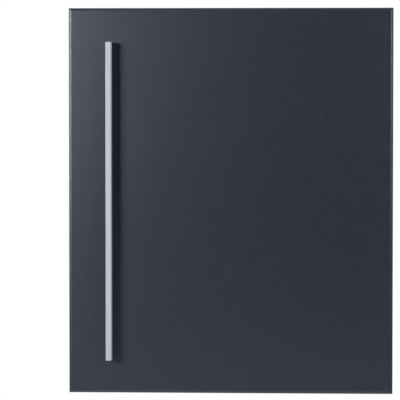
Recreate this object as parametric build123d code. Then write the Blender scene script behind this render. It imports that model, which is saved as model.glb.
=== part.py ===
from build123d import *
import os

# A wall mounted mailbox: a folded steel housing behind an overlapping door with a long bar handle.
# The upper compartment takes letters through a lidded slot in its top, and the lower one is a
# newspaper tube that is open at both ends.
# Millimetres. X is to the right, -Y is to the front and +Z is up. The origin is the centre of the
# wall hole pattern, on the face that lies on the wall.

# ---- Sheet ----
sheet = 1.2                    # thickness of every folded sheet
bend_inside = 1.0              # inside radius of every fold but the door's
bend_middle = bend_inside + sheet / 2
bend_outside = bend_inside + sheet

# ---- Fits ----
running = 0.05                 # radial clearance round a turning pin or plug
seated = 0.02                  # radial clearance round a fixed shank or rod
stand_off = 0.3                # gap between a stop and what rests on it
weld_gap = 0.3                 # gap beside a flange that is let in between two others
overcut = 1.0                  # how far a cutting solid runs past what it cuts

# ---- Door ----
door_width = 370.0
door_height = 440.0
overall_depth = 105.0          # wall to the face of the door
door_fold = 10.0               # depth of the door's folded edges
door_bend = 1.8                # inside radius of the door's folds
door_gap = 6.8                 # between the inside of the door and the front of the housing
stiffener_end = 25.0           # from each end of the door to the rib
stiffener_web = 23.0
stiffener_foot = 7.0
stiffener_depth = 5.0

# ---- Housing ----
side_overhang = 11.0           # the door stands past the housing at each side
end_overhang = 11.0            # and past it at the top and bottom
front_flange = 12.0            # folded edges of the side walls at the door
rear_flange = 12.0             # folded edges of the side walls at the back plate
edge_flange = 14.0             # folded edges of the top plate and rear edges of the shelf and tray
newspaper_clear = 97.0         # height of the newspaper tube
shelf_lip = 25.0
tray_lip = 18.0
slot_inset = 11.5              # from each side of the housing to the slot, which takes a C4 envelope
slot_width = 45.0
slot_front = 22.0              # from the front of the housing to the slot
slot_rim = 9.0                 # depth of the slot's down-turned edges
wall_hole_inset_x = 44.0       # from each side of the housing
wall_hole_inset_z = 39.0       # from its top and its bottom
wall_hole_r = 3.25

# ---- Letter lid and its hinge ----
lid_hinge_y = -5.0
lid_knuckle_r = 2.75
lid_rod_r = 1.5
lid_hinge_inset = 13.0
lid_knuckles = 7
lid_leaf_depth = 17.0
lid_front = 92.0               # from the wall to the inside of the lid's grip
lid_grip = 4.5                 # height of the upturned grip above the lid
lid_skirt = 11.5
lid_side_gap = 0.6
pad_r = 4.0
pad_round = 1.0
pad_inset_x = 24.0
pad_inset_y = 13.0

# ---- Door hinges ----
hinge_height = 60.0
upper_hinge_drop = 49.0        # from the top of the housing to the middle of the hinge
lower_hinge_rise = 39.6        # from the shelf to the middle of the hinge
door_knuckle_r = 2.75
door_pin_r = 1.5
pin_head_r = 2.6
pin_head = 1.0
door_knuckle_share = 0.36      # share of a hinge's height taken by the door's knuckle
body_leaf_depth = 26.0
rivet_r = 1.6
rivet_head_r = 3.0
rivet_head = 1.2
rivet_dome = 0.9               # round on the rim of a rivet's head
rivet_spacing = 36.0
rivet_setback = 16.0

# ---- Handle ----
handle_length = 361.6
handle_width = 6.0
handle_depth = 16.0
handle_inset = 47.4            # from the left edge of the door to the middle of the bar
handle_z = 0.3
handle_edge = 0.35             # small edge round on the bar
spacer_length = 10.0
spacer_r = 2.4
handle_screw_r = 1.5
handle_screw_bite = 10.0
handle_screw_inset = 40.0      # from each end of the bar
handle_hole_play = 0.2
screw_head_r = 2.75
screw_head = 3.0
socket_width = 2.5
socket_depth = 1.3
washer_r = 3.5
washer = 0.5
access_hole_r = 5.5

# ---- Magnets and bumpers ----
upper_magnet_drop = 69.0
lower_magnet_rise = 49.6
magnet_pot_r = 5.5
magnet_pot_wall = 1.2
magnet_depth = 3.0
magnet_screw_r = 1.5
magnet_screw_head_r = 2.9
nut_across_flats = 5.5
nut = 2.4
bumper_r = 4.0
bumper_round = 1.4
upper_bumper_drop = 19.0
lower_bumper_rise = 17.6

# ---- Lock ----
lock_y = -60.0
lock_drop = 149.0              # from the top of the housing to the middle of the lock
lock_collar_r = 10.0
lock_collar = 2.5
lock_barrel_r = 8.0
lock_barrel = 18.0             # length of the barrel inside the housing
lock_hole_play = 0.1
lock_nut_flats = 22.0
lock_nut = 4.0
plug_r = 5.5
plug_head_r = 7.0
plug_head = 1.5
key_slot_height = 7.5
key_slot_width = 1.4
key_slot_depth = 12.0
stub = 6.0                     # square end of the plug that drives the cam
cam_thickness = 2.0
cam_width = 14.0
cam_reach = 30.0
cam_washer_r = 5.0
cam_washer = 1.0
cam_bolt_r = 2.0
cam_bolt_bite = 8.0
cam_bolt_flats = 7.0
cam_bolt_head = 2.8
bolt_end_gap = 1.0             # left under the end of a bolt or screw in a blind hole
hook_play = 0.7                # between the locked cam and the lip of the hook
hook_side_play = 1.6           # between the cam's bolt and the arm of the hook
hook_height = 20.0
hook_overlap = 5.0             # how far the hook reaches past the tip of the raised cam
hook_lip = 8.0
hook_foot = 19.0

# ---- Planes worked out from those sizes ----
door_face = -overall_depth
door_inside = door_face + sheet
door_rear = door_face + door_fold
door_side_inside = door_width / 2 - sheet
door_leaf_depth = door_fold - sheet - door_bend
front = door_inside + door_gap
back_inside = -sheet
side = door_width / 2 - side_overhang
side_inside = side - sheet
top = door_height / 2 - end_overhang
bottom = -top
tray_floor = bottom + sheet
shelf_under = tray_floor + newspaper_clear
shelf_floor = shelf_under + sheet
top_under = top - sheet
mid = sheet / 2

slot_length = 2 * (side - slot_inset)
stiffener_height = door_height - 2 * stiffener_end

lid_hinge_length = 2 * (side - lid_hinge_inset)
lid_hinge_z = top + lid_knuckle_r
lid_top = lid_hinge_z + lid_knuckle_r
lid_under = lid_top - sheet

hinge_x = door_side_inside - stand_off - door_knuckle_r
hinge_y = door_rear

hinge_levels = {"upper": top - upper_hinge_drop, "lower": shelf_floor + lower_hinge_rise}

handle_x = handle_inset - door_width / 2
handle_back = door_face - spacer_length
handle_front = handle_back - handle_depth
stiffener_back = door_inside + stiffener_depth

lock_z = top - lock_drop
lock_face = -side - lock_collar
barrel_end = -side + lock_barrel
cam_start = barrel_end + stand_off
cam_end = cam_start + cam_thickness
hook_arm = cam_end + cam_washer + cam_bolt_head + hook_side_play + mid

stop_x = side - front_flange / 2
stop_face = door_inside + stand_off
magnet_levels = (top - upper_magnet_drop, shelf_floor + lower_magnet_rise)
bumper_levels = (top - upper_bumper_drop, shelf_floor + lower_bumper_rise)


# ---- Helpers ----
def block(x_span, y_span, z_span):
    """A box between pairs of coordinates."""
    spans = (x_span, y_span, z_span)
    size = [max(span) - min(span) for span in spans]
    centre = [sum(span) / 2 for span in spans]
    return Pos(*centre) * Box(*size)


def upright(axis, start, centre):
    """The plane square to a named axis. The centre is its place on the other two, in X, Y, Z order."""
    a, b = centre
    origins = {"x": (start, a, b), "y": (a, start, b), "z": (a, b, start)}
    normals = {"x": (1, 0, 0), "y": (0, 1, 0), "z": (0, 0, 1)}
    return Plane(origin=origins[axis], z_dir=normals[axis])


def rod(axis, span, centre, radius):
    """A cylinder along a named axis."""
    low, high = min(span), max(span)
    return extrude(upright(axis, low, centre) * Circle(radius), high - low)


def hole(axis, span, centre, radius):
    """A cylinder that cuts right through whatever lies between two coordinates."""
    return rod(axis, (min(span) - overcut, max(span) + overcut), centre, radius)


def hexagon(axis, span, centre, flats):
    """A hexagonal bar along a named axis, as a nut, a bolt's head or a socket."""
    low, high = min(span), max(span)
    outline = RegularPolygon(flats / 2, 6, major_radius=False)
    return extrude(upright(axis, low, centre) * outline, high - low)


def folded(plane, points, length):
    """A folded sheet: a line of its middle surface, thickened and extruded."""
    line = FilletPolyline(*points, radius=bend_middle)
    return extrude(plane * trace(line, line_width=sheet), length)


def rivet(axis, span, centre):
    """A rivet through a span along a named axis, with a domed head at each end."""
    low, high = span
    direction = {"x": Axis.X, "y": Axis.Y}[axis]
    first = rod(axis, (low - rivet_head, low), centre, rivet_head_r)
    last = rod(axis, (high, high + rivet_head), centre, rivet_head_r)
    first = fillet(first.faces().sort_by(direction)[0].edges(), rivet_dome)
    last = fillet(last.faces().sort_by(direction)[-1].edges(), rivet_dome)
    return first + rod(axis, span, centre, rivet_r) + last


# ---- Housing ----
def back_plate():
    """Flat plate against the wall, with the four wall holes."""
    plate = block((-side, side), (0, back_inside), (bottom, top))
    hole_x, hole_z = side - wall_hole_inset_x, top - wall_hole_inset_z
    for x in (-hole_x, hole_x):
        for z in (-hole_z, hole_z):
            plate -= hole("y", (back_inside, 0), (x, z), wall_hole_r)
    return plate


def side_wall():
    """Right side wall of the letter compartment, folded in at the front and the back."""
    section = [(side - rear_flange, back_inside - mid), (side - mid, back_inside - mid),
               (side - mid, front + mid), (side - front_flange, front + mid)]
    return folded(Plane.XY.offset(shelf_floor), section, top_under - shelf_floor)


def left_side_wall():
    """Left side wall, drilled for the lock and for the magnets' screws."""
    wall = mirror(side_wall(), about=Plane.YZ)
    wall -= hole("x", (-side, -side_inside), (lock_y, lock_z), lock_barrel_r + lock_hole_play)
    for z in magnet_levels:
        wall -= hole("y", (front, front + sheet), (-stop_x, z), magnet_screw_r + seated)
    return wall


def right_side_wall():
    """Right side wall, drilled for the hinge rivets."""
    wall = side_wall()
    for y, z in hinge_rivet_places():
        wall -= hole("x", (side_inside, side), (y, z), rivet_r + seated)
    return wall


def between_flanges(shape, z_span):
    """Cuts a sheet's folded edges where the side walls' own flanges stand."""
    for edge, width in (((front - overcut, front + bend_outside), front_flange),
                        ((back_inside - bend_outside, back_inside + overcut), rear_flange)):
        inner = side - width - weld_gap
        shape -= block((-side - overcut, -inner), edge, z_span)
        shape -= block((inner, side + overcut), edge, z_span)
    return shape


def top_plate():
    """Top of the housing, with folded edges and the letter slot between two down-turned rims."""
    slot_start = front + slot_front
    slot_end = slot_start + slot_width
    across = Plane.YZ.offset(-side)
    front_part = [(front + mid, top - edge_flange), (front + mid, top - mid),
                  (slot_start - mid, top - mid), (slot_start - mid, top - slot_rim)]
    rear_part = [(slot_end + mid, top - slot_rim), (slot_end + mid, top - mid),
                 (back_inside - mid, top - mid), (back_inside - mid, top - edge_flange)]
    plate = folded(across, front_part, 2 * side) + folded(across, rear_part, 2 * side)
    half_slot = slot_length / 2
    rims = (slot_start - bend_outside, slot_end + bend_outside)
    for x_span in ((-side, -half_slot), (half_slot, side)):
        plate -= block(x_span, rims, (top - slot_rim, top))
        plate += block(x_span, rims, (top_under, top))
    return between_flanges(plate, (top - edge_flange, top_under))


def divider_shelf():
    """Floor of the letter compartment and roof of the newspaper tube, with a lip that holds letters in."""
    section = [(back_inside - mid, shelf_under - edge_flange + sheet), (back_inside - mid, shelf_floor - mid),
               (front + mid, shelf_floor - mid), (front + mid, shelf_floor + shelf_lip)]
    shelf = folded(Plane.YZ.offset(-side), section, 2 * side)
    inner = side - front_flange - weld_gap
    for x_span in ((-side, -inner), (inner, side)):
        shelf -= block(x_span, (front, front + bend_outside), (shelf_under, shelf_floor + shelf_lip))
    return shelf


def newspaper_tray():
    """Floor of the newspaper tube, with a lip at the front and a flange on the back plate."""
    section = [(back_inside - mid, bottom + edge_flange), (back_inside - mid, bottom + mid),
               (front + mid, bottom + mid), (front + mid, bottom + tray_lip)]
    return folded(Plane.YZ.offset(-side), section, 2 * side)


# ---- Letter lid ----
def lid_knuckle_spans(first):
    """Every second span of the lid's hinge: first 0 is the leaf's knuckles, first 1 the lid's."""
    pitch = lid_hinge_length / lid_knuckles
    for index in range(first, lid_knuckles, 2):
        start = -lid_hinge_length / 2 + index * pitch
        yield start + stand_off / 2, start + pitch - stand_off / 2


def lid_knuckle(span, bore):
    """One rolled knuckle round the lid's rod."""
    centre = (lid_hinge_y, lid_hinge_z)
    return rod("x", span, centre, lid_knuckle_r) - hole("x", span, centre, bore)


def knuckle_relief(span):
    """The room that the other half's knuckle needs."""
    wide = (span[0] - stand_off, span[1] + stand_off)
    return rod("x", wide, (lid_hinge_y, lid_hinge_z), lid_knuckle_r + stand_off)


def lid_hinge_leaf():
    """Leaf of the lid's hinge, welded on the top plate."""
    half = lid_hinge_length / 2
    leaf = block((-half, half), (lid_hinge_y, lid_hinge_y - lid_leaf_depth), (top, top + sheet))
    leaf -= hole("x", (-half, half), (lid_hinge_y, lid_hinge_z), lid_rod_r + running)
    for span in lid_knuckle_spans(1):
        leaf -= knuckle_relief(span)
    for span in lid_knuckle_spans(0):
        leaf += lid_knuckle(span, lid_rod_r + seated)
    return leaf


def lid_hinge_rod():
    """Rod that the letter lid turns on."""
    half = lid_hinge_length / 2
    return rod("x", (-half, half), (lid_hinge_y, lid_hinge_z), lid_rod_r)


def letter_lid():
    """Lid over the letter slot, with side skirts and an upturned grip along its front."""
    half = side + lid_side_gap + sheet
    grip = -lid_front - mid
    along = [(lid_hinge_y, lid_top - mid), (grip, lid_top - mid), (grip, lid_top + lid_grip)]
    lid = folded(Plane.YZ.offset(-half + bend_outside), along, 2 * (half - bend_outside))
    skirt = half - mid
    across = [(-skirt, lid_top - lid_skirt), (-skirt, lid_top - mid),
              (skirt, lid_top - mid), (skirt, lid_top - lid_skirt)]
    rear = lid_hinge_y - lid_knuckle_r - stand_off
    lid += folded(Plane(origin=(0, rear, 0), x_dir=(1, 0, 0), z_dir=(0, -1, 0)), across,
                  lid_front + rear - bend_outside)
    for span in lid_knuckle_spans(0):
        lid -= knuckle_relief(span)
    for span in lid_knuckle_spans(1):
        lid += lid_knuckle(span, lid_rod_r + running)
        lid -= hole("x", span, (lid_hinge_y, lid_hinge_z), lid_rod_r + running)
    return lid


def lid_rest_pads():
    """Rubber pads that the closed lid rests on."""
    pads = []
    for x in (-side + pad_inset_x, side - pad_inset_x):
        pad = rod("z", (top, lid_under - stand_off), (x, front + pad_inset_y), pad_r)
        pads.append(fillet(pad.faces().sort_by(Axis.Z)[-1].edges(), pad_round))
    return pads


# ---- Door hinges ----
def hinge_rivet_places():
    """Where the rivets go through the right side wall, as Y and Z."""
    for level in hinge_levels.values():
        for z in (level - rivet_spacing / 2, level + rivet_spacing / 2):
            yield front + rivet_setback, z


def door_knuckle_span(level):
    """Height span of the door's knuckle, in the middle of a hinge."""
    half = hinge_height * door_knuckle_share / 2
    return level - half, level + half


def body_knuckle_spans(level):
    """Height spans of the housing's two knuckles, below and above the door's."""
    low, high = door_knuckle_span(level)
    return [(level - hinge_height / 2, low - stand_off), (high + stand_off, level + hinge_height / 2)]


def door_hinge_knuckle(span, bore):
    """One knuckle round a door hinge's pin."""
    centre = (hinge_x, hinge_y)
    return rod("z", span, centre, door_knuckle_r) - hole("z", span, centre, bore)


def hinge_relief(span):
    """The room that the other leaf's knuckle needs."""
    wide = (span[0] - stand_off, span[1] + stand_off)
    return rod("z", wide, (hinge_x, hinge_y), door_knuckle_r + stand_off)


def body_leaf(level):
    """Leaf on the outside of the right wall, folded round in front of it to the pin."""
    span = (level - hinge_height / 2, level + hinge_height / 2)
    arm = hinge_y - door_knuckle_r + mid
    section = [(side + mid, front + body_leaf_depth), (side + mid, arm), (hinge_x, arm)]
    leaf = folded(Plane.XY.offset(span[0]), section, hinge_height)
    leaf -= hole("z", span, (hinge_x, hinge_y), door_pin_r + seated)
    leaf -= hinge_relief(door_knuckle_span(level))
    for knuckle in body_knuckle_spans(level):
        leaf += door_hinge_knuckle(knuckle, door_pin_r + seated)
    for y, z in hinge_rivet_places():
        if span[0] < z < span[1]:
            leaf -= hole("x", (side, side + sheet), (y, z), rivet_r + seated)
    return leaf


def door_leaf(level):
    """Leaf welded inside the folded edge of the door."""
    span = (level - hinge_height / 2, level + hinge_height / 2)
    leaf = block((door_side_inside - sheet, door_side_inside), (hinge_y, hinge_y - door_leaf_depth), span)
    for knuckle in body_knuckle_spans(level):
        leaf -= hinge_relief(knuckle)
    leaf += door_hinge_knuckle(door_knuckle_span(level), door_pin_r + running)
    return leaf


def hinge_pin(level):
    """Pin of a door hinge, headed at the top."""
    low, high = level - hinge_height / 2, level + hinge_height / 2
    pin = rod("z", (low, high), (hinge_x, hinge_y), door_pin_r)
    return pin + rod("z", (high, high + pin_head), (hinge_x, hinge_y), pin_head_r)


def hinge_rivets():
    """Rivets through the housing's leaves and the right side wall."""
    return [rivet("x", (side_inside, side + sheet), place) for place in hinge_rivet_places()]


# ---- Door ----
def handle_screw_levels():
    """Heights of the two handle screws."""
    reach = handle_length / 2 - handle_screw_inset
    return [handle_z - reach, handle_z + reach]


def rounded_slab(inset, rear, edge_round):
    """A slab that fills the door, inset from its skin, with the edges of its front face rounded."""
    half_width, half_height = door_width / 2 - inset, door_height / 2 - inset
    slab = block((-half_width, half_width), (door_face + inset, rear), (-half_height, half_height))
    return fillet(slab.faces().sort_by(Axis.Y)[0].edges(), edge_round)


def door_panel():
    """Door skin: a flat pan folded back on all four sides, drilled for the handle screws."""
    panel = rounded_slab(0, door_rear, door_bend + sheet)
    panel -= rounded_slab(sheet, door_rear + overcut, door_bend)
    for z in handle_screw_levels():
        panel -= hole("y", (door_face, door_inside), (handle_x, z), handle_screw_r + handle_hole_play)
    return panel


def door_stiffener():
    """Hat-shaped rib welded inside the door behind the handle, with holes over its screw heads."""
    foot, web = door_inside + mid, stiffener_back - mid
    leg = stiffener_web / 2 - mid
    end = leg + stiffener_foot
    section = [(handle_x - end, foot), (handle_x - leg, foot), (handle_x - leg, web),
               (handle_x + leg, web), (handle_x + leg, foot), (handle_x + end, foot)]
    rib = folded(Plane.XY.offset(-stiffener_height / 2), section, stiffener_height)
    for z in handle_screw_levels():
        rib -= rod("y", (stiffener_back - bend_outside, stiffener_back + overcut), (handle_x, z),
                   access_hole_r)
    for x, z in hook_rivet_places():
        rib -= hole("y", (stiffener_back - sheet, stiffener_back), (x, z), rivet_r + seated)
    return rib


def handle_bar():
    """Long flat bar, drilled from behind for its two screws."""
    half = handle_width / 2
    z_span = (handle_z - handle_length / 2, handle_z + handle_length / 2)
    bar = block((handle_x - half, handle_x + half), (handle_front, handle_back), z_span)
    bar = fillet(bar.edges(), handle_edge)
    for z in handle_screw_levels():
        bar -= rod("y", (handle_back - handle_screw_bite, handle_back + overcut), (handle_x, z),
                   handle_screw_r + seated)
    return bar


def handle_spacers():
    """Round spacers between the bar and the door."""
    spacers = []
    for z in handle_screw_levels():
        spacer = rod("y", (handle_back, door_face), (handle_x, z), spacer_r)
        spacer -= hole("y", (handle_back, door_face), (handle_x, z), handle_screw_r + running)
        spacers.append(spacer)
    return spacers


def handle_washers():
    """Washers under the handle screws, inside the door."""
    washers = []
    for z in handle_screw_levels():
        ring = rod("y", (door_inside, door_inside + washer), (handle_x, z), washer_r)
        ring -= hole("y", (door_inside, door_inside + washer), (handle_x, z), handle_screw_r + running)
        washers.append(ring)
    return washers


def handle_screws():
    """Socket screws through the door and the spacers into the bar."""
    seat = door_inside + washer
    tip = handle_back - handle_screw_bite + bolt_end_gap
    screws = []
    for z in handle_screw_levels():
        screw = rod("y", (tip, seat), (handle_x, z), handle_screw_r)
        screw += rod("y", (seat, seat + screw_head), (handle_x, z), screw_head_r)
        screw -= hexagon("y", (seat + screw_head - socket_depth, seat + screw_head + overcut), (handle_x, z),
                       socket_width)
        screws.append(screw)
    return screws


# ---- Magnets and bumpers ----
def magnet_pots():
    """Steel cups of the pot magnets that hold the door shut."""
    pots = []
    for z in magnet_levels:
        pot = rod("y", (stop_face, front), (-stop_x, z), magnet_pot_r)
        pot -= rod("y", (stop_face - overcut, stop_face + magnet_depth), (-stop_x, z),
                   magnet_pot_r - magnet_pot_wall)
        pot -= hole("y", (stop_face, front), (-stop_x, z), magnet_screw_r + seated)
        pots.append(pot)
    return pots


def magnet_rings():
    """Countersunk ring magnets inside the cups."""
    rings = []
    for z in magnet_levels:
        ring = rod("y", (stop_face, stop_face + magnet_depth), (-stop_x, z),
                   magnet_pot_r - magnet_pot_wall - seated)
        rings.append(ring - magnet_screw(z, seated))
    return rings


def magnet_screw(z, play=0.0):
    """Countersunk screw of a pot magnet, or the hole for it where play is given."""
    head = magnet_screw_head_r - magnet_screw_r
    end = front + sheet + nut + bolt_end_gap
    screw = rod("y", (stop_face + stand_off, end), (-stop_x, z), magnet_screw_r + play)
    cone = Plane(origin=(-stop_x, stop_face + stand_off, z), z_dir=(0, 1, 0))
    screw += cone * Pos(0, 0, head / 2) * Cone(magnet_screw_head_r + play, magnet_screw_r + play, head)
    if play:
        screw += rod("y", (stop_face - overcut, stop_face + stand_off), (-stop_x, z),
                     magnet_screw_head_r + play)
    return screw


def magnet_screws():
    """Screws through the magnets and the left wall's front flange."""
    screws = []
    for z in magnet_levels:
        slot = block((-stop_x - magnet_screw_head_r, -stop_x + magnet_screw_head_r),
                     (stop_face, stop_face + 2 * stand_off), (z - stand_off, z + stand_off))
        screws.append(magnet_screw(z) - slot)
    return screws


def magnet_nuts():
    """Nuts of the magnets' screws, behind the flange."""
    nuts = []
    for z in magnet_levels:
        body = hexagon("y", (front + sheet, front + sheet + nut), (-stop_x, z), nut_across_flats)
        nuts.append(body - hole("y", (front + sheet, front + sheet + nut), (-stop_x, z),
                                magnet_screw_r + seated))
    return nuts


def door_bumpers():
    """Rubber studs on the side walls' front flanges that the closed door rests on."""
    bumpers = []
    for x in (-stop_x, stop_x):
        for z in bumper_levels:
            bumper = rod("y", (stop_face, front), (x, z), bumper_r)
            bumpers.append(fillet(bumper.faces().sort_by(Axis.Y)[0].edges(), bumper_round))
    return bumpers


# ---- Lock ----
def lock_housing():
    """Collar and threaded barrel of the cam lock, through the left side wall."""
    centre = (lock_y, lock_z)
    body = rod("x", (lock_face, -side), centre, lock_collar_r)
    body = fillet(body.faces().sort_by(Axis.X)[0].edges(), lock_collar / 3)
    body += rod("x", (-side, barrel_end), centre, lock_barrel_r)
    body -= hole("x", (lock_face, barrel_end), centre, plug_r + running)
    return body - rod("x", (lock_face - overcut, lock_face + plug_head + stand_off), centre,
                      plug_head_r + running)


def lock_nut_ring():
    """Nut that clamps the lock to the wall."""
    span = (-side_inside, -side_inside + lock_nut)
    ring = hexagon("x", span, (lock_y, lock_z), lock_nut_flats)
    return ring - hole("x", span, (lock_y, lock_z), lock_barrel_r + seated)


def lock_plug():
    """Turning plug of the lock, with a key slot in its head and a square end for the cam."""
    centre = (lock_y, lock_z)
    start = lock_face + stand_off
    plug = rod("x", (start, cam_start), centre, plug_r)
    plug += rod("x", (start, start + plug_head), centre, plug_head_r)
    plug += block((cam_start, cam_end), (lock_y - stub / 2, lock_y + stub / 2),
                  (lock_z - stub / 2, lock_z + stub / 2))
    plug -= block((start - overcut, start + key_slot_depth),
                  (lock_y - key_slot_width / 2, lock_y + key_slot_width / 2),
                  (lock_z - key_slot_height / 2, lock_z + key_slot_height / 2))
    return plug - rod("x", (cam_end - cam_bolt_bite, cam_end + overcut), centre, cam_bolt_r + seated)


def lock_cam():
    """Cam that points to the front when unlocked and turns up in front of the hook to lock."""
    reach = cam_reach - cam_width / 2
    plane = Plane(origin=(cam_start, lock_y, lock_z), x_dir=(0, -1, 0), z_dir=(1, 0, 0))
    outline = Pos(reach / 2, 0) * SlotCenterToCenter(reach, cam_width)
    cam = extrude(plane * outline, cam_thickness)
    half = stub / 2 + running
    return cam - block((cam_start - overcut, cam_end + overcut), (lock_y - half, lock_y + half),
                       (lock_z - half, lock_z + half))


def cam_washer_ring():
    """Washer between the cam and its bolt."""
    span = (cam_end, cam_end + cam_washer)
    ring = rod("x", span, (lock_y, lock_z), cam_washer_r)
    return ring - hole("x", span, (lock_y, lock_z), cam_bolt_r + seated)


def cam_bolt():
    """Bolt that holds the cam on the plug."""
    seat = cam_end + cam_washer
    bolt = rod("x", (cam_end - cam_bolt_bite + bolt_end_gap, seat), (lock_y, lock_z), cam_bolt_r)
    return bolt + hexagon("x", (seat, seat + cam_bolt_head), (lock_y, lock_z), cam_bolt_flats)


def hook_levels():
    """Height span of the latch hook: round the tip of the raised cam, clear of the lowered one."""
    end = lock_z + cam_reach + hook_overlap
    return end - hook_height, end


def latch_hook():
    """Hook riveted to the door's rib, whose lip the raised cam catches."""
    low, high = hook_levels()
    foot = stiffener_back + mid
    lip = lock_y + cam_width / 2 + hook_play + mid
    section = [(hook_arm + hook_foot, foot), (hook_arm, foot), (hook_arm, lip),
               (hook_arm - hook_lip, lip)]
    hook = folded(Plane.XY.offset(low), section, high - low)
    for x, z in hook_rivet_places():
        hook -= hole("y", (stiffener_back, stiffener_back + sheet), (x, z), rivet_r + seated)
    return hook


def hook_rivet_places():
    """Where the hook is riveted to the rib, as X and Z."""
    low, high = hook_levels()
    middle = hook_arm + hook_foot / 2
    return [(middle, low + hook_height / 4), (middle, high - hook_height / 4)]


def hook_rivets():
    """Rivets that hold the hook on the rib."""
    joint = (stiffener_back - sheet, stiffener_back + sheet)
    return [rivet("y", joint, place) for place in hook_rivet_places()]


def pieces():
    """Every node of the mailbox, as its name and its solid or group of solids."""
    nodes = {
        "back_plate": back_plate(),
        "left_side_wall": left_side_wall(),
        "right_side_wall": right_side_wall(),
        "top_plate": top_plate(),
        "divider_shelf": divider_shelf(),
        "newspaper_tray": newspaper_tray(),
        "lid_hinge_leaf": lid_hinge_leaf(),
        "lid_hinge_rod": lid_hinge_rod(),
        "lid_rest_pads": lid_rest_pads(),
        "hinge_rivets": hinge_rivets(),
        "magnet_pots": magnet_pots(),
        "magnet_rings": magnet_rings(),
        "magnet_screws": magnet_screws(),
        "magnet_nuts": magnet_nuts(),
        "door_bumpers": door_bumpers(),
        "lock_housing": lock_housing(),
        "lock_nut": lock_nut_ring(),
        "door_panel": door_panel(),
        "door_stiffener": door_stiffener(),
        "handle_bar": handle_bar(),
        "handle_spacers": handle_spacers(),
        "handle_washers": handle_washers(),
        "handle_screws": handle_screws(),
        "latch_hook": latch_hook(),
        "hook_rivets": hook_rivets(),
        "letter_lid": letter_lid(),
        "lock_plug": lock_plug(),
        "lock_cam": lock_cam(),
        "cam_washer": cam_washer_ring(),
        "cam_bolt": cam_bolt(),
    }
    for name, level in hinge_levels.items():
        nodes[f"{name}_hinge_body_leaf"] = body_leaf(level)
        nodes[f"{name}_hinge_door_leaf"] = door_leaf(level)
        nodes[f"{name}_hinge_pin"] = hinge_pin(level)
    return nodes


os.makedirs("parts", exist_ok=True)
for node, solid in pieces().items():
    shape = Compound(children=solid) if isinstance(solid, list) else solid
    export_step(shape, f"parts/{node}.step")
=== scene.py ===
import math

import bmesh
import bpy
from bpy.props import FloatProperty, FloatVectorProperty, IntProperty, PointerProperty
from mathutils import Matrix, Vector


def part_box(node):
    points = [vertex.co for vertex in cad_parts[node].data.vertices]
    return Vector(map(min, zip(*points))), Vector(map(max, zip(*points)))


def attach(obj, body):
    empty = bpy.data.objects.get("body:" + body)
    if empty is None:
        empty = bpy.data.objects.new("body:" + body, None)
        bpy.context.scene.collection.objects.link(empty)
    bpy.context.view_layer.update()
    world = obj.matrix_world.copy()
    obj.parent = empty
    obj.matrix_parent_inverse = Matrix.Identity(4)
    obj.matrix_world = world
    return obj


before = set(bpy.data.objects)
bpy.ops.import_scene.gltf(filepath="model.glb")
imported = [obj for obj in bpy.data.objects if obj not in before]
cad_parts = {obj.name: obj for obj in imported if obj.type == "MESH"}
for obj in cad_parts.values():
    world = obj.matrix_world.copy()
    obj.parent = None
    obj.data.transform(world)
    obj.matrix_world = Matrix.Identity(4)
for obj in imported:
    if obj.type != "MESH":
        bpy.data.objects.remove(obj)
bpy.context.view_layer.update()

bl_info = {
    "name": "Wall mounted mailbox",
    "version": (1, 0, 0),
    "blender": (4, 5, 0),
    "location": "3D View > Sidebar > Mailbox",
    "description": "Finishes a wall mounted mailbox and lights it on a plain stage",
    "category": "Object",
}

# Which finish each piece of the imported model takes.
COATED = ("door_panel", "letter_lid", "back_plate", "left_side_wall", "right_side_wall", "top_plate",
          "divider_shelf", "newspaper_tray", "lid_hinge_leaf", "door_stiffener")
BRUSHED = ("handle_bar", "handle_spacers")
ZINC = ("lid_hinge_rod", "hinge_rivets", "upper_hinge_body_leaf", "lower_hinge_body_leaf",
        "upper_hinge_door_leaf", "lower_hinge_door_leaf", "upper_hinge_pin", "lower_hinge_pin",
        "magnet_pots", "magnet_screws", "magnet_nuts", "handle_washers", "handle_screws",
        "latch_hook", "hook_rivets", "lock_nut", "lock_cam", "cam_washer", "cam_bolt")
NICKEL = ("lock_housing", "lock_plug", "magnet_rings")
RUBBER = ("door_bumpers", "lid_rest_pads")

COAT_NAME = "anthracite powder coat"
STEEL_NAME = "brushed stainless steel"
ZINC_NAME = "zinc plated steel"
NICKEL_NAME = "nickel plate"
RUBBER_NAME = "black rubber"

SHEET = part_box("back_plate")[1].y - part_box("back_plate")[0].y    # thickness of all the sheets

# Numbers of each finish. RELIEF is how far its surface rises, and EDGE how wide its edges look rounded
# off. WEAR is the width of the rubbed band along an edge, and of the patches it is broken into. All four
# are in metres. SHADES are the darkest and lightest tone, as shares of its colour, ROUGHNESS its smoothest
# and dullest spots, BARE how much brighter a rubbed edge is, and RUBBED how much smoother.
COAT_RELIEF = 0.00005
COAT_EDGE = 0.0004
COAT_WEAR = (0.0007, 0.02)
COAT_SHADES = (0.88, 1.12)
COAT_BARE = 2.2
COAT_RUBBED = 0.05
COAT_CLOUDS = 18             # width of the faint clouds, in widths of the orange peel
COAT_GLOSS = 0.011           # how much the roughness varies either way
COAT_REFLECTION = 0.61       # strength of the reflections, where 0.5 is plain lacquer
COAT_TINT = (0.842, 0.856, 1.0, 1)    # colour of the reflections

STEEL_RELIEF = 0.00002
STEEL_EDGE = 0.0002
STEEL_WEAR = (0.0004, 0.01)
STEEL_SHADES = (0.68, 1.19)
STEEL_BARE = 1.16
STEEL_ROUGHNESS = (0.75, 0.84)
STEEL_STRETCH = 0.35         # how far the brushing stretches reflections

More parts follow.
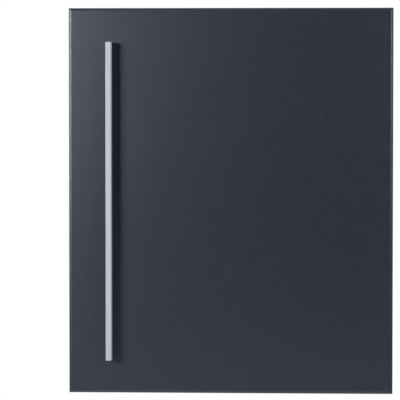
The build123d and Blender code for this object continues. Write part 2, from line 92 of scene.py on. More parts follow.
ZINC_RELIEF = 0.00003
ZINC_EDGE = 0.00015
ZINC_WEAR = (0.0003, 0.004)
ZINC_SHADES = (0.45, 1.05)
ZINC_BARE = 1.35
ZINC_ROUGHNESS = (0.36, 0.54)
ZINC_RUBBED = 0.12
ZINC_SPANGLES = 700          # crystals in a metre
ZINC_HAZE = 0.004            # width of the hazy spots
ZINC_SMUTS = 0.011           # width of the dark spots

NICKEL_RELIEF = 0.000004
NICKEL_EDGE = 0.00012
NICKEL_WEAR = (0.0002, 0.003)
NICKEL_SHADES = (0.80, 1.04)
NICKEL_BARE = 1.12
NICKEL_ROUGHNESS = (0.12, 0.28)
NICKEL_RUBBED = 0.06
NICKEL_MARKS = 0.0003        # width of the handling marks
NICKEL_FILM = 0.003          # width of the film's patches

RUBBER_RELIEF = 0.00004
RUBBER_EDGE = 0.0003
RUBBER_WEAR = (0.0004, 0.003)
RUBBER_SHADES = (0.7, 1.6)
RUBBER_BARE = 2.0
RUBBER_ROUGHNESS = (0.62, 0.84)
RUBBER_RUBBED = 0.08
RUBBER_BLOOM = 0.0012        # width of the dusty spots

FLOOR_COLOR = (0.80, 0.80, 0.80)
FLOOR_SCUFFS = 0.3           # width of the floor's scuffs in metres
FLOOR_FADE = (0.3, 0.97)     # where the floor starts and ends fading, as shares of its radius

# How far the welds and the thread keep from the ends of what they are on.
WALL_WELD_FOOT = 0.018       # from the lower end of a side wall to its first weld
WALL_WELD_HEAD = 0.030       # from its upper end to its last weld
FLANGE_WELD_REACH = 0.78     # outermost flange welds, as a share of half the housing's width
FLANGE_MIDDLE = 0.43         # middle of a flange's flat, as a share of its height from its free edge
RIB_WELD_END = 0.014         # from either end of the door's rib to its nearest weld
RIB_FOOT_MIDDLE = 0.0039     # from the rib's side to the middle of its foot
BEAD_REAR_END = 0.0008       # from the door's rear edge to a corner weld
BEAD_FRONT_END = 0.0012      # from the door's inner face to its other end
BEAD_SUNK = 0.0001           # how far a corner weld reaches into the sheets
THREAD_START = 0.0004        # from the lock's nut to the first turn
THREAD_END = 0.0007          # from the last turn to the end of the barrel

# Shapes of the welds and the thread, as shares of their own sizes.
WELD_SUNK = 0.4              # part of the rim's height that lies in the sheet
WELD_RINGS = ((0.22, 0.0), (0.16, 0.55), (0.30, 0.2))    # width of each ring inwards, and the drop to it
WELD_EDGE = 0.35             # how much of the rim's height is rounded off
BEAD_STEPS = 18              # slices along a corner weld
BEAD_RIPPLE = (1.09, 0.958, 0.958)    # how the slices swell and shrink in turn
THREAD_HALF_WIDTH = 0.42     # half the width of a turn, as a share of the pitch
THREAD_SLICES = 36           # slices in one turn


class MailboxFinish(bpy.types.PropertyGroup):
    """Colours and grain of the mailbox's finishes."""

    coat: FloatVectorProperty(
        name="Coat", description="Colour of the powder coat", subtype="COLOR",
        default=(0.0045, 0.0080, 0.0142), min=0, max=1)
    coat_roughness: FloatProperty(
        name="Coat roughness", description="How matt the powder coat is", default=0.31, min=0, max=1)
    coat_grain: FloatProperty(
        name="Coat grain", description="Width of the coat's fine texture", unit="LENGTH", default=0.00045)
    coat_peel: FloatProperty(
        name="Coat peel", description="Width of the coat's soft orange peel", unit="LENGTH", default=0.0028)
    steel: FloatVectorProperty(
        name="Steel", description="Colour of the brushed steel", subtype="COLOR",
        default=(0.464, 0.472, 0.500), min=0, max=1)
    brush_width: FloatProperty(
        name="Brush width", description="Width of one brush line on the steel", unit="LENGTH",
        default=0.0004)
    brush_length: FloatProperty(
        name="Brush length", description="Length of one brush line on the steel", unit="LENGTH",
        default=0.05)
    zinc: FloatVectorProperty(
        name="Zinc", description="Colour of the plated fittings", subtype="COLOR",
        default=(0.43, 0.44, 0.455), min=0, max=1)
    nickel: FloatVectorProperty(
        name="Nickel", description="Colour of the lock's plating", subtype="COLOR",
        default=(0.68, 0.67, 0.64), min=0, max=1)
    rubber: FloatVectorProperty(
        name="Rubber", description="Colour of the studs and pads", subtype="COLOR",
        default=(0.022, 0.022, 0.023), min=0, max=1)


class MailboxMetalwork(bpy.types.PropertyGroup):
    """Sizes of the welds and the lock's thread."""

    weld_radius: FloatProperty(
        name="Weld radius", description="Radius of one spot weld", unit="LENGTH", default=0.0027)
    weld_rise: FloatProperty(
        name="Weld rise", description="Height of a spot weld's rim", unit="LENGTH", default=0.00022)
    wall_welds: IntProperty(
        name="Wall welds", description="Spot welds up each side of the housing", default=6, min=2)
    flange_welds: IntProperty(
        name="Flange welds", description="Spot welds across each flange of the housing", default=5, min=2)
    rib_welds: IntProperty(
        name="Rib welds", description="Spot welds up each foot of the door's rib", default=6, min=2)
    bead_radius: FloatProperty(
        name="Bead radius", description="Radius of the welds in the door's corners", unit="LENGTH",
        default=0.0021)
    barrel_radius: FloatProperty(
        name="Barrel radius", description="Radius of the lock's barrel", unit="LENGTH", default=0.008)
    thread_pitch: FloatProperty(
        name="Thread pitch", description="Distance from turn to turn on the lock's barrel", unit="LENGTH",
        default=0.001)
    thread_height: FloatProperty(
        name="Thread height", description="Height of the thread on the lock's barrel", unit="LENGTH",
        default=0.00045)


class MailboxStudio(bpy.types.PropertyGroup):
    """The stage, its lamps and the camera."""

    camera_distance: FloatProperty(
        name="Camera distance", description="From the camera to the door", unit="LENGTH", default=3.00)
    camera_side: FloatProperty(
        name="Camera side", description="Camera's place to the right of the middle", unit="LENGTH",
        default=0.1190)
    camera_height: FloatProperty(
        name="Camera height", description="Camera's place above the middle", unit="LENGTH", default=0.1272)
    camera_turn: FloatProperty(
        name="Camera turn", description="Camera's turn to the left", subtype="ANGLE",
        default=math.radians(2.934))
    camera_tilt: FloatProperty(
        name="Camera tilt", description="Camera's tilt downwards", subtype="ANGLE",
        default=math.radians(2.400))
    camera_lens: FloatProperty(
        name="Camera lens", description="Focal length in millimetres", default=237.2)
    key_power: FloatProperty(name="Key power", description="Watts of the left lamp", default=36.8)
    fill_power: FloatProperty(name="Fill power", description="Watts of the right lamp", default=12.0)
    low_power: FloatProperty(name="Low power", description="Watts of the lower lamp", default=1.6)
    foot_power: FloatProperty(name="Foot power", description="Watts of the lamp at the foot", default=2.0)
    top_power: FloatProperty(name="Top power", description="Watts of the lamp overhead", default=2.4)
    left_rim_power: FloatProperty(
        name="Left rim power", description="Watts of the lamp that rakes the left edge", default=6.0)
    right_rim_power: FloatProperty(
        name="Right rim power", description="Watts of the lamp that rakes the right edge", default=0.8)
    back_power: FloatProperty(name="Back power", description="Watts of each lamp behind", default=16.0)
    ambient: FloatProperty(name="Ambient", description="Strength of the light from all round", default=0.04)
    floor_depth: FloatProperty(
        name="Floor depth", description="How far the floor lies below the middle", unit="LENGTH",
        default=0.80)
    floor_radius: FloatProperty(
        name="Floor radius", description="Size of the round floor", unit="LENGTH", default=1.50)


# ---- Materials ----
def new_material(name):
    """A material with only its shader and output, and the object's coordinates to draw on."""
    material = bpy.data.materials.new(name)
    material.use_nodes = True
    tree = material.node_tree
    shader = tree.nodes["Principled BSDF"]
    place = tree.nodes.new("ShaderNodeTexCoord").outputs["Object"]
    return material, tree, shader, place


def noise(tree, place, size, stretch=(1, 1, 1), detail=2.0):
    """Noise whose lumps are about the given size in metres, stretched along the axes."""
    mapping = tree.nodes.new("ShaderNodeMapping")
    mapping.inputs["Scale"].default_value = [1 / (size * factor) for factor in stretch]
    tree.links.new(place, mapping.inputs["Vector"])
    texture = tree.nodes.new("ShaderNodeTexNoise")
    texture.inputs["Scale"].default_value = 1.0
    texture.inputs["Detail"].default_value = detail
    tree.links.new(mapping.outputs["Vector"], texture.inputs["Vector"])
    return texture.outputs["Fac"]


def spread(tree, value, low, high, start=0.3, end=0.7):
    """Spreads a noise value between two numbers."""
    node = tree.nodes.new("ShaderNodeMapRange")
    node.inputs["From Min"].default_value = start
    node.inputs["From Max"].default_value = end
    node.inputs["To Min"].default_value = low
    node.inputs["To Max"].default_value = high
    tree.links.new(value, node.inputs["Value"])
    return node.outputs["Result"]


def shade(tree, value, color, low, high):
    """A colour that a value makes darker or lighter."""
    node = tree.nodes.new("ShaderNodeMix")
    node.data_type = "RGBA"
    node.inputs["A"].default_value = [channel * low for channel in color] + [1]
    node.inputs["B"].default_value = [channel * high for channel in color] + [1]
    tree.links.new(value, node.inputs["Factor"])
    return node.outputs["Result"]


def multiply(tree, first, second):
    """The product of two values."""
    node = tree.nodes.new("ShaderNodeMath")
    node.operation = "MULTIPLY"
    tree.links.new(first, node.inputs[0])
    tree.links.new(second, node.inputs[1])
    return node.outputs["Value"]


def mixed(tree, first, second, share):
    """Two values mixed, with the given share of the second."""
    node = tree.nodes.new("ShaderNodeMix")
    node.inputs["Factor"].default_value = share
    tree.links.new(first, node.inputs["A"])
    tree.links.new(second, node.inputs["B"])
    return node.outputs["Result"]


def rounded(tree, radius):
    """The surface's direction, with sharp edges softened by a small radius."""
    node = tree.nodes.new("ShaderNodeBevel")
    node.samples = 6
    node.inputs["Radius"].default_value = radius
    return node.outputs["Normal"]


def rubbed(tree, place, radius, patch):
    """One along a piece's edges, broken into patches of a size, and nothing on its flats."""
    flat = tree.nodes.new("ShaderNodeNewGeometry").outputs["Normal"]
    both = tree.nodes.new("ShaderNodeVectorMath")
    both.operation = "DOT_PRODUCT"
    tree.links.new(rounded(tree, radius), both.inputs[0])
    tree.links.new(flat, both.inputs[1])
    edge = spread(tree, both.outputs["Value"], 1.0, 0.0, 0.80, 0.99)
    broken = spread(tree, noise(tree, place, patch, detail=4.0), 0.15, 1.0, 0.42, 0.58)
    return multiply(tree, edge, broken)


def worn(tree, color, wear, bare):
    """A colour that gives way to a barer one where it is worn."""
    node = tree.nodes.new("ShaderNodeMix")
    node.data_type = "RGBA"
    tree.links.new(wear, node.inputs["Factor"])
    tree.links.new(color, node.inputs["A"])
    node.inputs["B"].default_value = list(bare) + [1]
    return node.outputs["Result"]


def brighter(color, factor):
    """A colour made brighter, up to white."""
    return [min(channel * factor, 1.0) for channel in color]


def polished(tree, roughness, wear, amount):
    """A roughness that wear lowers by an amount."""
    node = tree.nodes.new("ShaderNodeMath")
    node.operation = "MULTIPLY_ADD"
    tree.links.new(wear, node.inputs[0])
    node.inputs[1].default_value = -amount
    tree.links.new(roughness, node.inputs[2])
    return node.outputs["Value"]


def bump(tree, shader, height, depth, edge):
    """Raises the surface by a height value, up to a depth in metres, and softens its edges."""
    node = tree.nodes.new("ShaderNodeBump")
    node.inputs["Strength"].default_value = 1.0
    node.inputs["Distance"].default_value = depth
    tree.links.new(height, node.inputs["Height"])
    tree.links.new(rounded(tree, edge), node.inputs["Normal"])
    tree.links.new(node.outputs["Normal"], shader.inputs["Normal"])


def powder_coat(name, color, roughness, grain, peel):
    """Satin powder coat: a fine grain on soft orange peel, faint clouds, and thin, rubbed edges."""
    material, tree, shader, place = new_material(name)
    fine = noise(tree, place, grain, detail=1.0)
    waves = noise(tree, place, peel, detail=2.0)
    clouds = noise(tree, place, peel * COAT_CLOUDS, detail=2.0)
    tone = mixed(tree, mixed(tree, fine, waves, 0.5), clouds, 0.15)
    wear = rubbed(tree, place, *COAT_WEAR)
    colors = shade(tree, spread(tree, tone, 0.0, 1.0, 0.35, 0.65), color, *COAT_SHADES)
    bare = [channel * COAT_BARE + 0.004 for channel in color]
    tree.links.new(worn(tree, colors, wear, bare), shader.inputs["Base Color"])
    gloss = spread(tree, mixed(tree, waves, clouds, 0.05), roughness - COAT_GLOSS, roughness + COAT_GLOSS,
                   0.35, 0.65)
    tree.links.new(polished(tree, gloss, wear, COAT_RUBBED), shader.inputs["Roughness"])
    bump(tree, shader, mixed(tree, fine, waves, 0.5), COAT_RELIEF, COAT_EDGE)
    shader.inputs["Specular IOR Level"].default_value = COAT_REFLECTION
    shader.inputs["Specular Tint"].default_value = COAT_TINT
    return material


def brushed_steel(name, color, width, length):
    """Stainless steel brushed along Z, with long and short lines and brighter edges."""
    material, tree, shader, place = new_material(name)
    lines = noise(tree, place, width, (1, 1, length / width), detail=4.0)
    scores = noise(tree, place, width * 2.5, (1, 1, 0.4 * length / width), detail=2.0)
    patches = noise(tree, place, width * 30, (1, 1, 6), detail=2.0)
    grain = mixed(tree, lines, scores, 0.35)
    both = multiply(tree, spread(tree, grain, 0.4, 1.0), spread(tree, patches, 0.8, 1.0))
    wear = rubbed(tree, place, *STEEL_WEAR)
    colors = worn(tree, shade(tree, both, color, *STEEL_SHADES), wear, brighter(color, STEEL_BARE))
    tree.links.new(colors, shader.inputs["Base Color"])
    tree.links.new(spread(tree, grain, *STEEL_ROUGHNESS), shader.inputs["Roughness"])
    bump(tree, shader, grain, STEEL_RELIEF, STEEL_EDGE)
    shader.inputs["Metallic"].default_value = 1.0
    shader.inputs["Anisotropic"].default_value = STEEL_STRETCH
    across = tree.nodes.new("ShaderNodeTangent")
    across.direction_type = "RADIAL"
    across.axis = "Z"
    tree.links.new(across.outputs["Tangent"], shader.inputs["Tangent"])
    return material


def zinc_plate(name, color):
    """Zinc plated steel: dull and hazy, with small spangles, dark smuts and bright edges."""
    material, tree, shader, place = new_material(name)
    cells = tree.nodes.new("ShaderNodeTexVoronoi")
    cells.inputs["Scale"].default_value = ZINC_SPANGLES
    tree.links.new(place, cells.inputs["Vector"])
    spangle = spread(tree, cells.outputs["Distance"], 0.70, 1.0, 0.0, 0.6)
    haze = noise(tree, place, ZINC_HAZE, detail=4.0)
    smuts = spread(tree, noise(tree, place, ZINC_SMUTS, detail=5.0), 0.62, 1.0, 0.36, 0.52)
    both = multiply(tree, multiply(tree, spangle, spread(tree, haze, 0.75, 1.0)), smuts)
    wear = rubbed(tree, place, *ZINC_WEAR)
    colors = worn(tree, shade(tree, both, color, *ZINC_SHADES), wear, brighter(color, ZINC_BARE))
    tree.links.new(colors, shader.inputs["Base Color"])
    gloss = spread(tree, haze, *ZINC_ROUGHNESS)
    tree.links.new(polished(tree, gloss, wear, ZINC_RUBBED), shader.inputs["Roughness"])
    bump(tree, shader, mixed(tree, haze, spangle, 0.3), ZINC_RELIEF, ZINC_EDGE)
    shader.inputs["Metallic"].default_value = 1.0
    return material


def nickel_plate(name, color):
    """Polished nickel with hairline handling marks and edges worn smooth."""
    material, tree, shader, place = new_material(name)
    marks = noise(tree, place, NICKEL_MARKS, (1, 12, 3), detail=5.0)
    film = noise(tree, place, NICKEL_FILM, detail=3.0)
    both = mixed(tree, marks, film, 0.5)
    wear = rubbed(tree, place, *NICKEL_WEAR)
    colors = shade(tree, spread(tree, both, 0.0, 1.0), color, *NICKEL_SHADES)
    tree.links.new(worn(tree, colors, wear, brighter(color, NICKEL_BARE)), shader.inputs["Base Color"])
    gloss = spread(tree, both, *NICKEL_ROUGHNESS)
    tree.links.new(polished(tree, gloss, wear, NICKEL_RUBBED), shader.inputs["Roughness"])
    bump(tree, shader, marks, NICKEL_RELIEF, NICKEL_EDGE)
    shader.inputs["Metallic"].default_value = 1.0
    return material


def moulded_rubber(name, color):
    """Matt black rubber with a dusty bloom, paler where it is handled."""
    material, tree, shader, place = new_material(name)
    bloom = noise(tree, place, RUBBER_BLOOM, detail=5.0)
    wear = rubbed(tree, place, *RUBBER_WEAR)
    colors = worn(tree, shade(tree, bloom, color, *RUBBER_SHADES), wear, brighter(color, RUBBER_BARE))
    tree.links.new(colors, shader.inputs["Base Color"])
    gloss = spread(tree, bloom, *RUBBER_ROUGHNESS)
    tree.links.new(polished(tree, gloss, wear, RUBBER_RUBBED), shader.inputs["Roughness"])
    bump(tree, shader, bloom, RUBBER_RELIEF, RUBBER_EDGE)
    return material


def dress(nodes, material):
    """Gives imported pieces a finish."""
    for name in nodes:
        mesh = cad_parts[name].data
        mesh.materials.clear()
        mesh.materials.append(material)


# ---- Modelling ----
def hold(piece):
    """Selects one piece alone and makes it the active one."""
    bpy.ops.object.select_all(action="DESELECT")
    piece.select_set(True)
    bpy.context.view_layer.objects.active = piece


def settle():
    """Moves the active piece's place, turn and scale into its mesh."""
    bpy.ops.object.transform_apply(location=True, rotation=True, scale=True)
    return bpy.context.active_object


def open_up(piece):
    """Goes into edit mode on a piece, with all of it selected."""
    hold(piece)
    bpy.ops.object.mode_set(mode="EDIT")
    bpy.ops.mesh.select_mode(type="FACE")
    bpy.ops.mesh.select_all(action="SELECT")


def close_up():
    """Turns all faces outwards and leaves edit mode."""
    bpy.ops.mesh.select_all(action="SELECT")
    bpy.ops.mesh.normals_make_consistent(inside=False)
    bpy.ops.mesh.select_all(action="DESELECT")
    bpy.ops.object.mode_set(mode="OBJECT")


def draw_out(step):
    """Extrudes what is selected by a step along Y."""
    bpy.ops.mesh.extrude_region_move(TRANSFORM_OT_translate={"value": (0, step, 0)})


def apply_modifier(piece, kind, **settings):
    """Shapes a piece with a modifier and applies it."""
    hold(piece)
    modifier = piece.modifiers.new("shaping", kind)
    for setting, value in settings.items():
        setattr(modifier, setting, value)
    bpy.ops.object.modifier_apply(modifier=modifier.name)


def check_closed(piece):
    """Stops the step if a finished piece has a gap in its skin."""
    form = bmesh.new()
    form.from_mesh(piece.data)
    gaps = sum(1 for edge in form.edges if not edge.is_manifold)
    form.free()
    if gaps:
        raise RuntimeError(f"{piece.name} has {gaps} open edges")


def complete(piece, name, material, body, angle=35):
    """Names, smooths and finishes a new piece, and hangs it on a body of the mailbox."""
    hold(piece)
    bpy.ops.object.shade_smooth_by_angle(angle=math.radians(angle))
    piece.name = name
    piece.data.name = name
    check_closed(piece)
    piece.data.materials.clear()
    piece.data.materials.append(material)
    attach(piece, body)


def copy_by(piece, step):
    """Copies a piece, with a mesh of its own, and moves the copy by a step."""
    hold(piece)
    bpy.ops.object.duplicate(linked=False)
    bpy.ops.transform.translate(value=step)
    return settle()


def spaced(low, high, count):
    """Evenly spaced places from one end of a span to the other."""
    return [low + (high - low) * index / (count - 1) for index in range(count)]


def add_disc(corners, radius, place, turn=(0, 0, 0)):
    """A flat, filled disc with a number of corners."""
    bpy.ops.object.select_all(action="DESELECT")
    bpy.ops.mesh.primitive_circle_add(vertices=corners, radius=radius, fill_type="NGON", location=place,
                                      rotation=turn)
    return settle()


def add_spot_weld(metalwork, place, facing):
    """One spot weld, a low rim round a shallow dish, on a face that looks along Y."""
    rise = metalwork.weld_rise * facing
    sunk = rise * WELD_SUNK
    weld = add_disc(32, metalwork.weld_radius, (place[0], place[1] - sunk, place[2]),
                    (-facing * math.pi / 2, 0, 0))
    open_up(weld)
    draw_out(rise + sunk)
    for width, drop in WELD_RINGS:
        bpy.ops.mesh.inset(thickness=metalwork.weld_radius * width)
        bpy.ops.transform.translate(value=(0, -rise * drop, 0))
    close_up()
    apply_modifier(weld, "BEVEL", width=metalwork.weld_rise * WELD_EDGE, segments=2, limit_method="ANGLE",
                   angle_limit=math.radians(25))
    return weld


def add_weld_row(metalwork, places, face, facing, name, material, body):
    """Models one spot weld, copies it to the other places on a face, and finishes them all."""
    first_x, first_z = places[0]
    first = add_spot_weld(metalwork, (first_x, face, first_z), facing)
    welds = [first] + [copy_by(first, (x - first_x, 0, z - first_z)) for x, z in places[1:]]
    for index, weld in enumerate(welds):
        complete(weld, f"{name}_{index + 1}", material, body)


def add_corner_bead(metalwork):
    """The rippled weld inside the door's upper right corner."""
    low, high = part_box("door_panel")
    corner_x, corner_z = high.x - SHEET, high.z - SHEET
    start, end = high.y - BEAD_REAR_END, low.y + SHEET + BEAD_FRONT_END
    centre = (corner_x, start, corner_z)
    bead = add_disc(32, metalwork.bead_radius, centre, (math.pi / 2, 0, 0))
    open_up(bead)
    for step in range(BEAD_STEPS):
        draw_out((end - start) / BEAD_STEPS)
        swell = BEAD_RIPPLE[step % len(BEAD_RIPPLE)]
        bpy.ops.transform.resize(value=(swell, 1, swell), center_override=centre)
    for place, outwards in (((corner_x + BEAD_SUNK, 0, 0), (1, 0, 0)),
                            ((0, 0, corner_z + BEAD_SUNK), (0, 0, 1))):
        bpy.ops.mesh.select_all(action="SELECT")
        bpy.ops.mesh.bisect(plane_co=place, plane_no=outwards, use_fill=True, clear_outer=True)
    close_up()
    return bead


def mirror_of(piece, flips):
    """A copy of a piece, mirrored about the middle of the mailbox along the axes given as -1."""
    hold(piece)
    bpy.ops.object.duplicate(linked=False)
    bpy.ops.transform.resize(value=flips, center_override=(0, 0, 0))
    twin = settle()
    open_up(twin)
    close_up()
    return twin


def add_thread(metalwork):
    """The thread round the lock's barrel, from its nut to its end."""
    low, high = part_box("lock_plug")
    middle = (low + high) / 2
    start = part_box("lock_nut")[1].x + THREAD_START
    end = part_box("lock_housing")[1].x - THREAD_END
    pitch, barrel = metalwork.thread_pitch, metalwork.barrel_radius
    half_width = pitch * THREAD_HALF_WIDTH
    turns = (end - start) / pitch
    slices = int(THREAD_SLICES * turns)
    thread = add_disc(4, half_width, (0, 0, barrel), (math.pi / 2, 0, 0))
    open_up(thread)
    bpy.ops.transform.resize(value=(1, 1, metalwork.thread_height / half_width),
                             center_override=(0, 0, barrel))
    bpy.ops.object.mode_set(mode="OBJECT")
    apply_modifier(thread, "SCREW", axis="X", angle=2 * math.pi * turns, screw_offset=pitch * turns,
                   steps=slices, render_steps=slices, use_merge_vertices=False)
    bpy.ops.transform.translate(value=(start, middle.y, middle.z))
    thread = settle()
    open_up(thread)
    bpy.ops.mesh.fill_holes(sides=4)
    close_up()
    return thread


# ---- Operators ----
class MAILBOX_OT_coat_sheets(bpy.types.Operator):
    """Powder coats the door, the lid and the housing"""
    bl_idname = "mailbox.coat_sheets"
    bl_label = "Coat the sheets"

    def execute(self, context):
        finish = context.scene.mailbox_finish
        coat = powder_coat(COAT_NAME, finish.coat, finish.coat_roughness, finish.coat_grain,
                           finish.coat_peel)
        dress(COATED, coat)
        return {"FINISHED"}


class MAILBOX_OT_brush_handle(bpy.types.Operator):
    """Brushes the bar handle and its spacers"""
    bl_idname = "mailbox.brush_handle"
    bl_label = "Brush the handle"

    def execute(self, context):
        finish = context.scene.mailbox_finish
        dress(BRUSHED, brushed_steel(STEEL_NAME, finish.steel, finish.brush_width,
                                     finish.brush_length))
        return {"FINISHED"}


class MAILBOX_OT_plate_fittings(bpy.types.Operator):
    """Plates the hinges, screws, rivets, magnets and lock"""
    bl_idname = "mailbox.plate_fittings"
    bl_label = "Plate the fittings"

    def execute(self, context):
        finish = context.scene.mailbox_finish
        dress(ZINC, zinc_plate(ZINC_NAME, finish.zinc))
        dress(NICKEL, nickel_plate(NICKEL_NAME, finish.nickel))
        return {"FINISHED"}


class MAILBOX_OT_mould_rubber(bpy.types.Operator):
    """Finishes the rubber studs and pads"""
    bl_idname = "mailbox.mould_rubber"
    bl_label = "Mould the rubber"

    def execute(self, context):
        dress(RUBBER, moulded_rubber(RUBBER_NAME, context.scene.mailbox_finish.rubber))
        return {"FINISHED"}


class MAILBOX_OT_weld_housing(bpy.types.Operator):
    """Spot welds the housing's flanges to its back plate"""
    bl_idname = "mailbox.weld_housing"
    bl_label = "Weld the housing"

    def execute(self, context):
        metalwork = context.scene.mailbox_metalwork
        coat = bpy.data.materials[COAT_NAME]
        wall_low, wall_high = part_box("right_side_wall")
        top_low, top_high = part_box("top_plate")
        face = wall_high.y - SHEET
        wall_middle = (wall_low.x + wall_high.x - SHEET) / 2
        flange = top_high.z - top_low.z
        reach = FLANGE_WELD_REACH * wall_high.x
        levels = (top_low.z + FLANGE_MIDDLE * flange,
                  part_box("divider_shelf")[0].z + FLANGE_MIDDLE * flange,
                  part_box("newspaper_tray")[0].z + (1 - FLANGE_MIDDLE) * flange)
        places = [(side * wall_middle, z) for side in (-1, 1)
                  for z in spaced(wall_low.z + WALL_WELD_FOOT, wall_high.z - WALL_WELD_HEAD,
                                  metalwork.wall_welds)]
        places += [(x, z) for z in levels for x in spaced(-reach, reach, metalwork.flange_welds)]
        add_weld_row(metalwork, places, face, -1, "housing_spot_weld", coat, "housing")
        return {"FINISHED"}


class MAILBOX_OT_weld_door(bpy.types.Operator):
    """Welds the door's corners, and its rib to its panel"""
    bl_idname = "mailbox.weld_door"
    bl_label = "Weld the door"

    def execute(self, context):
        metalwork = context.scene.mailbox_metalwork
        coat = bpy.data.materials[COAT_NAME]
        low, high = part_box("door_stiffener")
        places = [(x, z) for x in (low.x + RIB_FOOT_MIDDLE, high.x - RIB_FOOT_MIDDLE)
                  for z in spaced(low.z + RIB_WELD_END, high.z - RIB_WELD_END, metalwork.rib_welds)]
        add_weld_row(metalwork, places, low.y + SHEET, 1, "rib_spot_weld", coat, "door")
        bead = add_corner_bead(metalwork)
        beads = [bead] + [mirror_of(bead, flips) for flips in ((-1, 1, 1), (1, 1, -1), (-1, 1, -1))]
        for index, one in enumerate(beads):
            complete(one, f"door_corner_weld_{index + 1}", coat, "door", angle=50)
        return {"FINISHED"}


class MAILBOX_OT_thread_lock(bpy.types.Operator):
    """Cuts the thread on the lock's barrel"""
    bl_idname = "mailbox.thread_lock"
    bl_label = "Thread the lock"

    def execute(self, context):
        thread = add_thread(context.scene.mailbox_metalwork)
        complete(thread, "lock_barrel_thread", bpy.data.materials[NICKEL_NAME], "housing")
        return {"FINISHED"}


class MAILBOX_OT_set_stage(bpy.types.Operator):
    """Adds the floor, the lamps, the surroundings and the camera"""
    bl_idname = "mailbox.set_stage"
    bl_label = "Set the stage"

    def execute(self, context):
        studio = context.scene.mailbox_studio
        add_floor(studio)
        # Each lamp's name, watts, turn to the side and rise in degrees, distance, width and height.
        for name, power, side, rise, distance, width, height in (
                ("key lamp", studio.key_power, -29.5, 7.7, 2.23, 0.74, 0.38),
                ("fill lamp", studio.fill_power, 33.5, 9.8, 1.8, 0.80, 0.60),
                ("low lamp", studio.low_power, 0, -25, 1.2, 1.60, 0.50),
                ("foot lamp", studio.foot_power, 0, -48, 1.0, 1.60, 0.50),
                ("top lamp", studio.top_power, -15, 50, 1.2, 1.00, 0.60),
                ("left rim lamp", studio.left_rim_power, -78, 8, 1.2, 0.30, 0.40),
                ("right rim lamp", studio.right_rim_power, 72, 14, 1.2, 0.10, 0.40),
                ("left back lamp", studio.back_power, -128, 30, 2.0, 1.00, 1.00),
                ("right back lamp", studio.back_power, 128, 30, 2.0, 1.00, 1.00)):
            add_lamp(name, power, math.radians(side), math.radians(rise), distance, width, height)
        add_surroundings(studio)
        add_camera(studio)
        context.scene.view_settings.view_transform = "Standard"
        return {"FINISHED"}


def add_floor(studio):
    """A round pale floor, well below the mailbox, that fades into the white surroundings."""
    floor = add_disc(96, studio.floor_radius, (0, 0, -studio.floor_depth))
    floor.name = "floor"
    material, tree, shader, place = new_material("pale floor")
    scuffs = noise(tree, place, FLOOR_SCUFFS, detail=3.0)
    tree.links.new(shade(tree, scuffs, FLOOR_COLOR, 0.97, 1.0), shader.inputs["Base Color"])
    shader.inputs["Roughness"].default_value = 0.7
    centre = tree.nodes.new("ShaderNodeVectorMath")
    centre.operation = "DISTANCE"
    centre.inputs[1].default_value = (0, 0, -studio.floor_depth)
    tree.links.new(place, centre.inputs[0])
    start, end = (share * studio.floor_radius for share in FLOOR_FADE)
    fade = spread(tree, centre.outputs["Value"], 0.55, 1.0, start, end)
    seen = multiply(tree, fade, largest(tree, *ways_seen(tree)))
    white = tree.nodes.new("ShaderNodeEmission")
    blend = tree.nodes.new("ShaderNodeMixShader")
    tree.links.new(seen, blend.inputs["Fac"])
    tree.links.new(shader.outputs["BSDF"], blend.inputs[1])
    tree.links.new(white.outputs["Emission"], blend.inputs[2])
    tree.links.new(blend.outputs["Shader"], tree.nodes["Material Output"].inputs["Surface"])
    floor.data.materials.append(material)


def ways_seen(tree):
    """Two values: one for what the camera sees, and one for what a mirror or glass shows it."""
    rays = tree.nodes.new("ShaderNodeLightPath")
    mirrored = largest(tree, rays.outputs["Is Glossy Ray"], rays.outputs["Is Transmission Ray"])
    return rays.outputs["Is Camera Ray"], mirrored


def largest(tree, first, second):
    """The larger of two values."""
    node = tree.nodes.new("ShaderNodeMath")
    node.operation = "MAXIMUM"
    tree.links.new(first, node.inputs[0])
    tree.links.new(second, node.inputs[1])
    return node.outputs["Value"]


def add_lamp(name, power, side, rise, distance, width, height):
    """A soft rectangular lamp aimed at the middle of the door, turned to the side and raised."""
    aim = Vector((0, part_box("door_panel")[0].y, 0))
    direction = Vector((math.sin(side) * math.cos(rise), -math.cos(side) * math.cos(rise),
                        math.sin(rise)))
    data = bpy.data.lights.new(name, "AREA")
    data.shape = "RECTANGLE"
    data.size = width
    data.size_y = height
    data.energy = power
    lamp = bpy.data.objects.new(name, data)
    lamp.location = aim + direction * distance
    lamp.rotation_euler = (-direction).to_track_quat("-Z", "Y").to_euler()
    bpy.context.scene.collection.objects.link(lamp)


def add_surroundings(studio):
    """White surroundings to look at, mirrored by metal at the sides, with a soft light of their own."""
    world = bpy.data.worlds.new("surroundings")
    bpy.context.scene.world = world
    world.use_nodes = True
    tree = world.node_tree
    background = tree.nodes["Background"]
    background.inputs["Color"].default_value = (1, 1, 1, 1)
    direct, mirrored = ways_seen(tree)
    place = tree.nodes.new("ShaderNodeTexCoord").outputs["Generated"]
    split = tree.nodes.new("ShaderNodeSeparateXYZ")
    tree.links.new(place, split.inputs["Vector"])
    sides = spread(tree, split.outputs["Y"], 0.01, 1.0, -0.6, 0.1)
    shown = tree.nodes.new("ShaderNodeMix")
    shown.inputs["A"].default_value = studio.ambient
    tree.links.new(mirrored, shown.inputs["Factor"])
    tree.links.new(sides, shown.inputs["B"])
    seen = tree.nodes.new("ShaderNodeMix")
    seen.inputs["B"].default_value = 1.0
    tree.links.new(direct, seen.inputs["Factor"])
    tree.links.new(shown.outputs["Result"], seen.inputs["A"])
    tree.links.new(seen.outputs["Result"], background.inputs["Strength"])


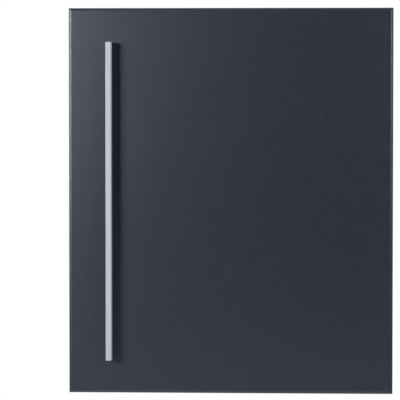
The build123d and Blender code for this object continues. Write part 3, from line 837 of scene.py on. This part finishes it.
def add_camera(studio):
    """The camera far in front of the door, a little above and right of its middle."""
    data = bpy.data.cameras.new("camera")
    data.lens = studio.camera_lens
    data.sensor_width = 36
    data.clip_start = 0.01
    camera = bpy.data.objects.new("camera", data)
    door_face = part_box("door_panel")[0].y
    camera.location = (studio.camera_side, door_face - studio.camera_distance, studio.camera_height)
    camera.rotation_euler = (math.pi / 2 - studio.camera_tilt, 0, studio.camera_turn)
    bpy.context.scene.collection.objects.link(camera)
    bpy.context.scene.camera = camera


class MAILBOX_PT_panel(bpy.types.Panel):
    """Lists the steps that finish the mailbox"""
    bl_idname = "MAILBOX_PT_panel"
    bl_label = "Mailbox"
    bl_space_type = "VIEW_3D"
    bl_region_type = "UI"
    bl_category = "Mailbox"

    def draw(self, context):
        for step in STEPS:
            self.layout.operator(step.bl_idname)


STEPS = (MAILBOX_OT_coat_sheets, MAILBOX_OT_brush_handle, MAILBOX_OT_plate_fittings,
         MAILBOX_OT_mould_rubber, MAILBOX_OT_weld_housing, MAILBOX_OT_weld_door, MAILBOX_OT_thread_lock,
         MAILBOX_OT_set_stage)
CLASSES = (MailboxFinish, MailboxMetalwork, MailboxStudio) + STEPS + (MAILBOX_PT_panel,)


def register():
    """Adds the classes and the three groups of settings to Blender."""
    for kind in CLASSES:
        bpy.utils.register_class(kind)
    bpy.types.Scene.mailbox_finish = PointerProperty(type=MailboxFinish)
    bpy.types.Scene.mailbox_metalwork = PointerProperty(type=MailboxMetalwork)
    bpy.types.Scene.mailbox_studio = PointerProperty(type=MailboxStudio)


def unregister():
    """Takes them away again."""
    del bpy.types.Scene.mailbox_studio
    del bpy.types.Scene.mailbox_metalwork
    del bpy.types.Scene.mailbox_finish
    for kind in reversed(CLASSES):
        bpy.utils.unregister_class(kind)


def run_step(step):
    """Calls one operator by its name."""
    group, name = step.bl_idname.split(".")
    getattr(getattr(bpy.ops, group), name)()


def main():
    """Finishes the mailbox step by step."""
    register()
    for step in STEPS:
        run_step(step)


if __name__ == "__main__":
    main()
